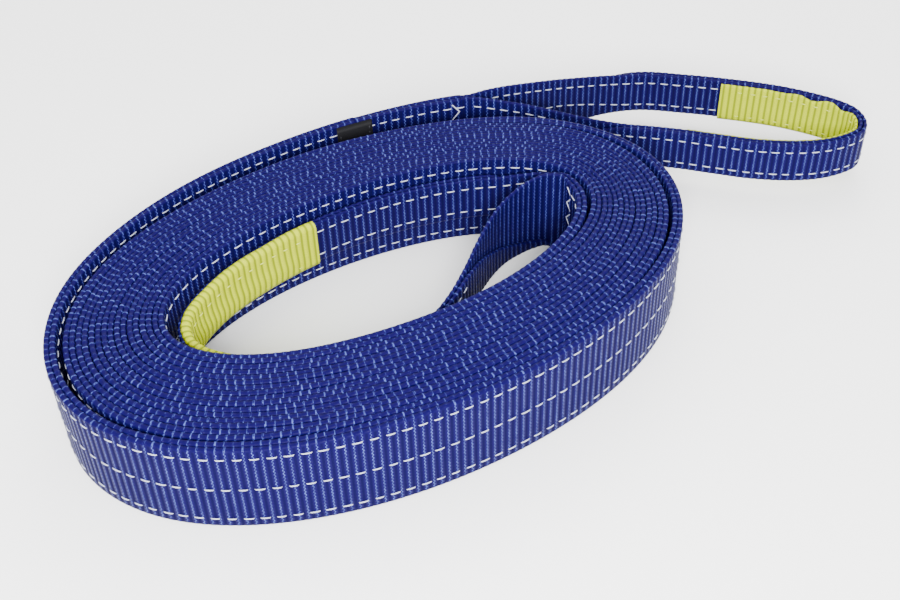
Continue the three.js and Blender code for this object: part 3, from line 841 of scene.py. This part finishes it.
inner_zigzag = throat_tack("inner_throat_tack", "inner_throat_zigzag", 3 * MM, 0.0, white_thread)
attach(inner_zigzag, "coil")
outer_zigzag = throat_tack("outer_throat_tack", "outer_throat_zigzag", -3 * MM, TURNS, white_thread)
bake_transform(outer_zigzag)

# ---------------------------------------------------------------------------------------------
# The label. A dark smooth tab, blank, 20 mm wide and 42 mm high, sewn to the inside of the outer
# end just before the throat.
LABEL_TURN = 8.7745
LABEL_WIDTH = 20 * MM
LABEL_THICK = 0.5 * MM


def label_material():
    """Dark smooth cloth: a fine even grain in its colour and its surface, from the UV map."""
    material = bpy.data.materials.new("dark_label")
    material.use_nodes = True
    nodes, link = material.node_tree.nodes, material.node_tree.links.new
    shader = nodes["Principled BSDF"]
    shader.inputs["Roughness"].default_value = 0.6
    shader.inputs["Specular IOR Level"].default_value = 0.1
    place = nodes.new("ShaderNodeUVMap")
    place.uv_map = "cloth"
    grain = nodes.new("ShaderNodeTexNoise")
    grain.inputs["Scale"].default_value = 2.2
    grain.inputs["Detail"].default_value = 4
    link(place.outputs[0], grain.inputs["Vector"])
    ramp = nodes.new("ShaderNodeValToRGB")
    ramp.color_ramp.elements[0].color = (0.003, 0.003, 0.0035, 1)
    ramp.color_ramp.elements[1].color = (0.009, 0.009, 0.011, 1)
    link(grain.outputs[0], ramp.inputs[0])
    link(ramp.outputs[0], shader.inputs["Base Color"])
    bump = nodes.new("ShaderNodeBump")
    bump.inputs["Distance"].default_value = 0.05 * MM
    link(grain.outputs[0], bump.inputs["Height"])
    link(bump.outputs[0], shader.inputs["Normal"])
    return material


def beside_label(along):
    """Places on the outer end's inner face, and its normals, at distances along it from the
    label's middle: distance over the length of a turn there."""
    rate = np.linalg.norm(wound(LABEL_TURN + 1e-4)[0] - wound(LABEL_TURN)[0]) / 1e-4
    place, out, _ = wound(LABEL_TURN + along / rate)
    return place, out


def flat_label(name, material):
    """The label's middle surface: up the inner face, waved by a quarter of a millimetre; along,
    it follows the outer end's curve."""
    along = np.linspace(-0.5, 0.5, 25) * LABEL_WIDTH
    place, out = beside_label(along)
    stand = LABEL_THICK / 2 + 0.25 * MM
    z = np.linspace(7 * MM, 49.2 * MM, 12)
    x = -stand - 0.25 * MM * np.sin(z / (5 * MM))
    width = z - z[0]
    gx, gz = np.gradient(x, width), np.gradient(z, width)
    size = np.hypot(gx, gz)
    shape = (len(along), len(z), 1)
    flat = place[:, None] + out[:, None] * x[None, :, None]
    middle = np.concatenate([flat, np.broadcast_to(z[None, :, None], shape)], -1)
    facing = out[:, None] * (gz / size)[None, :, None]
    way = np.concatenate([facing, np.broadcast_to((-gx / size)[None, :, None], shape)], -1)
    half = np.full(middle.shape[:2], LABEL_THICK / 2)
    half[:, [0, -1]] *= 0.4
    piece = strap(name, middle, way, half, along, width[None], material)
    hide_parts("identity_label")
    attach(piece, "outer_end")


dark_label = label_material()
flat_label("blank_label", dark_label)


def label_seam(name):
    """Dark stitches down both sides of the label and along its foot."""
    material = recoloured(dark_label, "label_thread", (0.010, 0.010, 0.012), (0.028, 0.029, 0.034))
    edge = LABEL_WIDTH / 2 - 1.8 * MM
    across = np.concatenate([np.full(12, -edge), np.linspace(-edge, edge, 10), np.full(12, edge)])
    height = np.concatenate([np.linspace(46, 11, 12), np.full(10, 11), np.linspace(11, 46, 12)]) * MM
    p, n = beside_label(across)
    line = np.concatenate([p - n * (LABEL_THICK + 0.22 * MM), height[:, None]], -1)
    face = np.concatenate([-n, np.zeros((len(n), 1))], -1)
    piece = seam(name, line, face, material, pitch=3.4 * MM, length=2.2 * MM)
    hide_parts("label_stitch")
    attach(piece, "outer_end")


label_seam("label_seam")

# ---------------------------------------------------------------------------------------------
# The studio: a pale plain floor, a broad soft lamp over the front left, a weaker one behind, and
# a camera above the front left corner, looking down at 43 degrees with a 54 mm lens.
CAMERA_FROM_COIL = np.array([-187.6, -438.3]) * MM
CAMERA_HEIGHT = 467 * MM
LOOK = (math.sin(math.radians(26.84)), math.cos(math.radians(26.84)))
LOOK_DOWN = math.radians(43.47)
ROLL = math.radians(-1.93)
LENS = 53.58
FLOOR_HALF = 6
FLOOR_LEVEL = -0.6 * MM

floor_mesh = bpy.data.meshes.new("studio_floor")
floor_sides = ((-1, -1), (1, -1), (1, 1), (-1, 1))
floor_corners = [(x * FLOOR_HALF, y * FLOOR_HALF, FLOOR_LEVEL) for x, y in floor_sides]
floor_mesh.from_pydata(floor_corners, [], [(0, 1, 2, 3)])
floor = bpy.data.objects.new("studio_floor", floor_mesh)
bpy.context.scene.collection.objects.link(floor)
floor_paint = bpy.data.materials.new("pale_floor")
floor_paint.use_nodes = True
floor_shader = floor_paint.node_tree.nodes["Principled BSDF"]
floor_shader.inputs["Base Color"].default_value = (0.96, 0.96, 0.96, 1)
floor_shader.inputs["Roughness"].default_value = 0.9
floor_mesh.materials.append(floor_paint)

world = bpy.data.worlds.new("studio_world")
bpy.context.scene.world = world
world.use_nodes = True
world.node_tree.nodes["Background"].inputs[0].default_value = (1, 1, 1, 1)
world.node_tree.nodes["Background"].inputs[1].default_value = 2.5


def soft_lamp(name, place, target, size, power):
    """A square area lamp at a place, turned to face a target."""
    lamp = bpy.data.lights.new(name, "AREA")
    lamp.energy, lamp.size = power, size
    holder = bpy.data.objects.new(name, lamp)
    bpy.context.scene.collection.objects.link(holder)
    way = Vector(target) - Vector(place)
    holder.matrix_world = Matrix.Translation(place) @ way.to_track_quat("-Z", "Y").to_matrix().to_4x4()


soft_lamp("front_left_lamp", (-0.36, -0.66, 0.52), (-0.05, 0, 0.02), 0.28, 24)
soft_lamp("back_lamp", (0.9, 1.2, 1.3), (0, 0, 0.02), 1.0, 20)

camera_data = bpy.data.cameras.new("camera")
camera_data.lens = LENS
camera_data.sensor_width = 36
camera_data.clip_start = 0.01
camera = bpy.data.objects.new("camera", camera_data)
bpy.context.scene.collection.objects.link(camera)
ahead = math.cos(LOOK_DOWN)
forward = Vector((LOOK[0] * ahead, LOOK[1] * ahead, -math.sin(LOOK_DOWN))).normalized()
level = Vector((forward.y, -forward.x, 0)).normalized()
upright = level.cross(forward)
right = level * math.cos(ROLL) + upright * math.sin(ROLL)
up = -level * math.sin(ROLL) + upright * math.cos(ROLL)
turned = Matrix((right, up, -forward)).transposed().to_4x4()
camera.matrix_world = Matrix.Translation((*(CAMERA_FROM_COIL + COIL_MIDDLE), CAMERA_HEIGHT)) @ turned
bpy.context.scene.camera = camera
